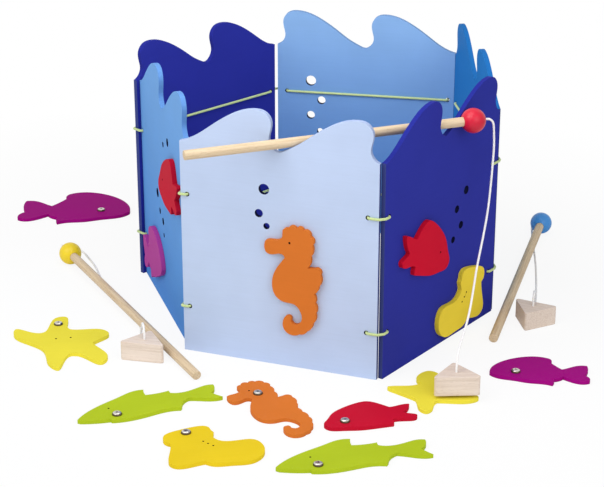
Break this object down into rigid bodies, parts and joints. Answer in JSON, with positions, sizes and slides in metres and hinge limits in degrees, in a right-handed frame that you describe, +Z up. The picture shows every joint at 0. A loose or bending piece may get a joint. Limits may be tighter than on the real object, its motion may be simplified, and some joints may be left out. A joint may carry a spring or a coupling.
{
  "type": "magnetic fishing game",
  "caption": "Six-sided tank of wave-topped wooden panels laced with elastic cord, with magnet rods, string lines and flat sea creatures that carry a steel screw.",
  "frame": {"origin": "on the floor under the middle of the box round every piece but the strings and what hangs on them", "axes": "+Z up, +X to the right along the front panel's outer face, +Y from the front panel towards the back of the tank"},
  "size_m": [0.754, 0.7037, 0.265],
  "materials": {
    "pale_blue_paint": "satin paint",
    "dark_blue_paint": "satin paint",
    "mid_blue_paint": "satin paint",
    "lime_elastic": "woven elastic",
    "orange_paint": "satin paint",
    "red_paint": "satin paint",
    "yellow_paint": "satin paint",
    "green_paint": "satin paint",
    "purple_paint": "satin paint",
    "bare_dowel": "sanded",
    "bare_block": "sanded",
    "red_gloss_paint": "gloss paint",
    "yellow_gloss_paint": "gloss paint",
    "blue_gloss_paint": "gloss paint",
    "screw_steel": "zinc plated",
    "magnet_steel": "nickel plated",
    "white_string": "braided cord"
  },
  "bodies": {
    "root": {"panel_front": "pale_blue_paint", "panel_front_right": "dark_blue_paint", "panel_back_right": "mid_blue_paint", "panel_back": "pale_blue_paint", "panel_back_left": "dark_blue_paint", "panel_front_left": "mid_blue_paint", "lacing_cord_upper": "lime_elastic", "lacing_cord_lower": "lime_elastic", "plaque_seahorse": "orange_paint", "plaque_red_fish": "red_paint", "plaque_boot": "yellow_paint", "plaque_starfish_right": "yellow_paint", "plaque_green_fish": "green_paint", "plaque_starfish_left": "yellow_paint", "plaque_purple_fish": "purple_paint", "plaque_red_fish_left": "red_paint", "seahorse": "orange_paint", "boot": "yellow_paint", "red_fish": "red_paint", "purple_fish_left": "purple_paint", "purple_fish_right": "purple_paint", "green_fish_left": "green_paint", "green_fish_right": "green_paint", "starfish_left": "yellow_paint", "starfish_right": "yellow_paint", "pickup_screws": "screw_steel", "red_rod_dowel": "bare_dowel", "red_rod_ball": "red_gloss_paint", "red_block": "bare_block", "red_magnet": "magnet_steel", "red_string": "white_string", "yellow_rod_dowel": "bare_dowel", "yellow_rod_ball": "yellow_gloss_paint", "yellow_block": "bare_block", "yellow_magnet": "magnet_steel", "yellow_string": "white_string", "blue_rod_dowel": "bare_dowel", "blue_rod_ball": "blue_gloss_paint", "blue_block": "bare_block", "blue_magnet": "magnet_steel", "blue_string": "white_string"}
  },
  "joints": []
}
